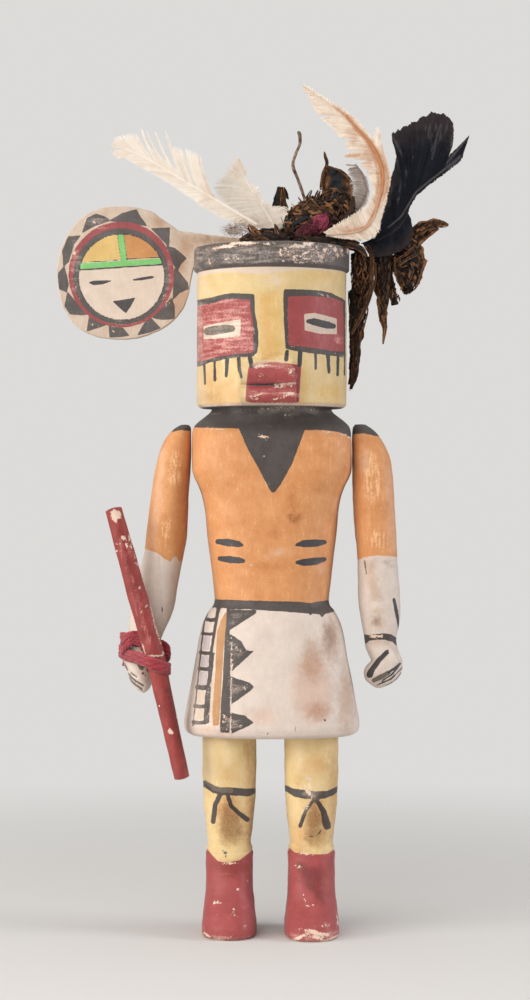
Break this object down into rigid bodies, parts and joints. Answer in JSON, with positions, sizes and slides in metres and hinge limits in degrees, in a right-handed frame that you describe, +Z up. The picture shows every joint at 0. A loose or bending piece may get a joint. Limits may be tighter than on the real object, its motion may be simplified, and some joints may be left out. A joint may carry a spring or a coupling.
{
  "type": "kachina doll",
  "caption": "Carved and painted wooden doll in a square-eyed case mask, with feathers and plant fibre on its crown, a sun board at its side and a red stick tied to its hand.",
  "frame": {"origin": "on the floor, under the middle of the whole object's bounding box", "axes": "+Z up, the doll faces -Y, and its left hand is at +X"},
  "size_m": [0.1966, 0.0789, 0.4015],
  "materials": {
    "painted_wood": "matt earth paint over white ground on carved root wood, worn and chipped",
    "painted_board": "matt paint over white ground on a thin board",
    "red_paint": "worn red paint on a round stick",
    "yarn": "red wool yarn",
    "white_feather": "white feather, soft sheen",
    "buff_feather": "cream feather with an orange-brown stripe",
    "black_feather": "blue-black feather, soft sheen",
    "grey_feather": "grey feather",
    "plant_fibre": "dried brown plant fibre",
    "red_fibre": "dyed red fibre"
  },
  "bodies": {
    "root": {"body": "painted_wood", "right_arm": "painted_wood", "left_arm": "painted_wood", "sun_board": "painted_board", "red_stick": "red_paint", "yarn_tie": "yarn", "white_feather_long": "white_feather", "white_feather_short": "white_feather", "buff_feather": "buff_feather", "black_feather": "black_feather", "grey_feather": "grey_feather", "crest_fibre": "plant_fibre", "hanging_fibre": "plant_fibre", "red_tuft": "red_fibre", "twig": "plant_fibre"}
  },
  "joints": []
}
